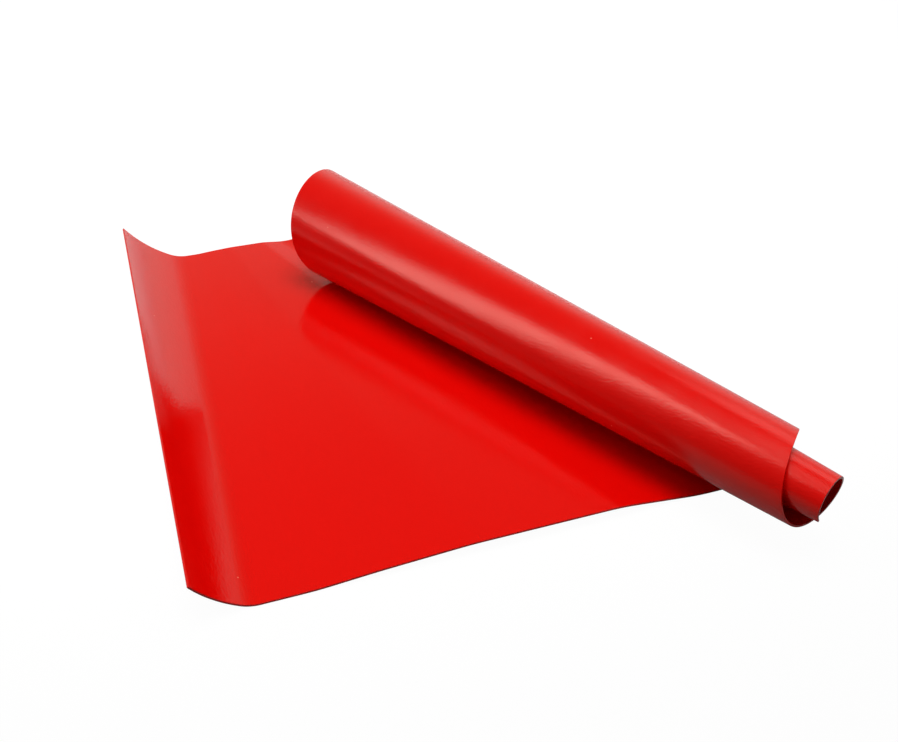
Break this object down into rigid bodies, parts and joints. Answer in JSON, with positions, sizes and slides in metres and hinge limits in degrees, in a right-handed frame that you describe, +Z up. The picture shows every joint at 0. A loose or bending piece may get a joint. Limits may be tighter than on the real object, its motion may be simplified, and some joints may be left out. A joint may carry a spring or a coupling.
{
  "type": "silicone baking mat",
  "caption": "Thin rectangular red silicone sheet for lining a baking tray, lying partly unrolled, with its free edge curled up and its rolled end set at a skew.",
  "frame": {"origin": "on the table, under the middle of the whole as it lies, roll and free edge included", "axes": "+X along the mat from its free edge to the roll, +Y across it from the near edge to the far edge, +Z up"},
  "size_m": [0.254, 0.3476, 0.0581],
  "materials": {
    "silicone": "glossy moulded"
  },
  "bodies": {
    "bed": {"bed": "silicone"},
    "free_edge_crease": {"free_edge_crease": "silicone"},
    "free_edge_flare_1": {"free_edge_flare_1": "silicone"},
    "free_edge_flare_2": {"free_edge_flare_2": "silicone"},
    "outer_turn_01": {"outer_turn_01": "silicone"},
    "outer_turn_02": {"outer_turn_02": "silicone"},
    "outer_turn_03": {"outer_turn_03": "silicone"},
    "outer_turn_04": {"outer_turn_04": "silicone"},
    "outer_turn_05": {"outer_turn_05": "silicone"},
    "outer_turn_06": {"outer_turn_06": "silicone"},
    "outer_turn_07": {"outer_turn_07": "silicone"},
    "outer_turn_08": {"outer_turn_08": "silicone"},
    "outer_turn_09": {"outer_turn_09": "silicone"},
    "outer_turn_10": {"outer_turn_10": "silicone"},
    "inner_turn_11": {"inner_turn_11": "silicone"},
    "inner_turn_12": {"inner_turn_12": "silicone"},
    "inner_turn_13": {"inner_turn_13": "silicone"},
    "inner_turn_14": {"inner_turn_14": "silicone"},
    "inner_turn_15": {"inner_turn_15": "silicone"},
    "inner_turn_16": {"inner_turn_16": "silicone"},
    "inner_turn_17": {"inner_turn_17": "silicone"},
    "inner_turn_18": {"inner_turn_18": "silicone"}
  },
  "joints": [
    {"name": "unroll_01", "type": "hinge", "parent": "bed", "child": "outer_turn_01", "pos_m": [0.09959, -0.12125, 0], "axis": [-0.4032, 0.9151, 0], "range_deg": [0, 18.5]},
    {"name": "unroll_02", "type": "hinge", "parent": "outer_turn_01", "child": "outer_turn_02", "pos_m": [0.11451, -0.12152, 0.00454], "axis": [-0.391, 0.9204, 0.0044], "range_deg": [0, 37]},
    {"name": "unroll_03", "type": "hinge", "parent": "outer_turn_02", "child": "outer_turn_03", "pos_m": [0.12442, -0.12397, 0.01642], "axis": [-0.3839, 0.9232, 0.0155], "range_deg": [0, 37]},
    {"name": "unroll_04", "type": "hinge", "parent": "outer_turn_03", "child": "outer_turn_04", "pos_m": [0.12619, -0.12983, 0.03078], "axis": [-0.3843, 0.9227, 0.0287], "range_deg": [0, 37]},
    {"name": "unroll_05", "type": "hinge", "parent": "outer_turn_04", "child": "outer_turn_05", "pos_m": [0.1202, -0.13858, 0.04144], "axis": [-0.3927, 0.9188, 0.0398], "range_deg": [0, 37]},
    {"name": "unroll_06", "type": "hinge", "parent": "outer_turn_05", "child": "outer_turn_06", "pos_m": [0.11016, -0.14847, 0.04441], "axis": [-0.4068, 0.9125, 0.0434], "range_deg": [0, 37]},
    {"name": "unroll_07", "type": "hinge", "parent": "outer_turn_06", "child": "outer_turn_07", "pos_m": [0.10146, -0.15691, 0.03934], "axis": [-0.4227, 0.9056, 0.0356], "range_deg": [0, 37]},
    {"name": "unroll_08", "type": "hinge", "parent": "outer_turn_07", "child": "outer_turn_08", "pos_m": [0.09792, -0.16219, 0.02972], "axis": [-0.4329, 0.9013, 0.0156], "range_deg": [0, 37]},
    {"name": "unroll_09", "type": "hinge", "parent": "outer_turn_08", "child": "outer_turn_09", "pos_m": [0.10025, -0.16417, 0.02006], "axis": [-0.4297, 0.9029, -0.0104], "range_deg": [0, 37]},
    {"name": "unroll_10", "type": "hinge", "parent": "outer_turn_09", "child": "outer_turn_10", "pos_m": [0.10706, -0.16377, 0.01364], "axis": [-0.412, 0.9107, -0.0299], "range_deg": [0, 37]},
    {"name": "unroll_11", "type": "hinge", "parent": "outer_turn_10", "child": "inner_turn_11", "pos_m": [0.11551, -0.16225, 0.01245], "axis": [-0.3863, 0.9217, -0.0339], "range_deg": [0, 37]},
    {"name": "unroll_12", "type": "hinge", "parent": "inner_turn_11", "child": "inner_turn_12", "pos_m": [0.12299, -0.16094, 0.01658], "axis": [-0.3644, 0.931, -0.021], "range_deg": [0, 37]},
    {"name": "unroll_13", "type": "hinge", "parent": "inner_turn_12", "child": "inner_turn_13", "pos_m": [0.12685, -0.16101, 0.02456], "axis": [-0.3548, 0.935, 0.0018], "range_deg": [0, 37]},
    {"name": "unroll_14", "type": "hinge", "parent": "inner_turn_13", "child": "inner_turn_14", "pos_m": [0.12558, -0.16301, 0.03305], "axis": [-0.3596, 0.9328, 0.0253], "range_deg": [0, 37]},
    {"name": "unroll_15", "type": "hinge", "parent": "inner_turn_14", "child": "inner_turn_15", "pos_m": [0.12023, -0.16642, 0.03832], "axis": [-0.377, 0.9253, 0.0412], "range_deg": [0, 37]},
    {"name": "unroll_16", "type": "hinge", "parent": "inner_turn_15", "child": "inner_turn_16", "pos_m": [0.11353, -0.17009, 0.03874], "axis": [-0.4006, 0.9153, 0.0426], "range_deg": [0, 37]},
    {"name": "unroll_17", "type": "hinge", "parent": "inner_turn_16", "child": "inner_turn_17", "pos_m": [0.1085, -0.17275, 0.03497], "axis": [-0.4215, 0.9064, 0.0273], "range_deg": [0, 37]},
    {"name": "unroll_18", "type": "hinge", "parent": "inner_turn_17", "child": "inner_turn_18", "pos_m": [0.10679, -0.17377, 0.02938], "axis": [-0.4302, 0.9027, -0.0004], "range_deg": [0, 37]},
    {"name": "flatten_crease", "type": "hinge", "parent": "bed", "child": "free_edge_crease", "pos_m": [-0.10141, -0.12125, 0], "axis": [-0.0373, -0.9993, 0], "range_deg": [0, 14.75]},
    {"name": "flatten_flare_1", "type": "hinge", "parent": "free_edge_crease", "child": "free_edge_flare_1", "pos_m": [-0.1093, -0.12125, 0.00208], "axis": [-0.0284, -0.9996, -0.0023], "range_deg": [0, 21.25]},
    {"name": "flatten_flare_2", "type": "hinge", "parent": "free_edge_flare_1", "child": "free_edge_flare_2", "pos_m": [-0.11909, -0.12133, 0.00918], "axis": [-0.0171, -0.9998, -0.0105], "range_deg": [0, 13]}
  ],
  "couplings": [
    {"joint": "unroll_02", "follows": "unroll_01", "ratio": 2},
    {"joint": "unroll_03", "follows": "unroll_01", "ratio": 2},
    {"joint": "unroll_04", "follows": "unroll_01", "ratio": 2},
    {"joint": "unroll_05", "follows": "unroll_01", "ratio": 2},
    {"joint": "unroll_06", "follows": "unroll_01", "ratio": 2},
    {"joint": "unroll_07", "follows": "unroll_01", "ratio": 2},
    {"joint": "unroll_08", "follows": "unroll_01", "ratio": 2},
    {"joint": "unroll_09", "follows": "unroll_01", "ratio": 2},
    {"joint": "unroll_10", "follows": "unroll_01", "ratio": 2},
    {"joint": "unroll_11", "follows": "unroll_01", "ratio": 2},
    {"joint": "unroll_12", "follows": "unroll_01", "ratio": 2},
    {"joint": "unroll_13", "follows": "unroll_01", "ratio": 2},
    {"joint": "unroll_14", "follows": "unroll_01", "ratio": 2},
    {"joint": "unroll_15", "follows": "unroll_01", "ratio": 2},
    {"joint": "unroll_16", "follows": "unroll_01", "ratio": 2},
    {"joint": "unroll_17", "follows": "unroll_01", "ratio": 2},
    {"joint": "unroll_18", "follows": "unroll_01", "ratio": 2},
    {"joint": "flatten_flare_1", "follows": "flatten_crease", "ratio": 1.4406},
    {"joint": "flatten_flare_2", "follows": "flatten_crease", "ratio": 0.8813}
  ]
}
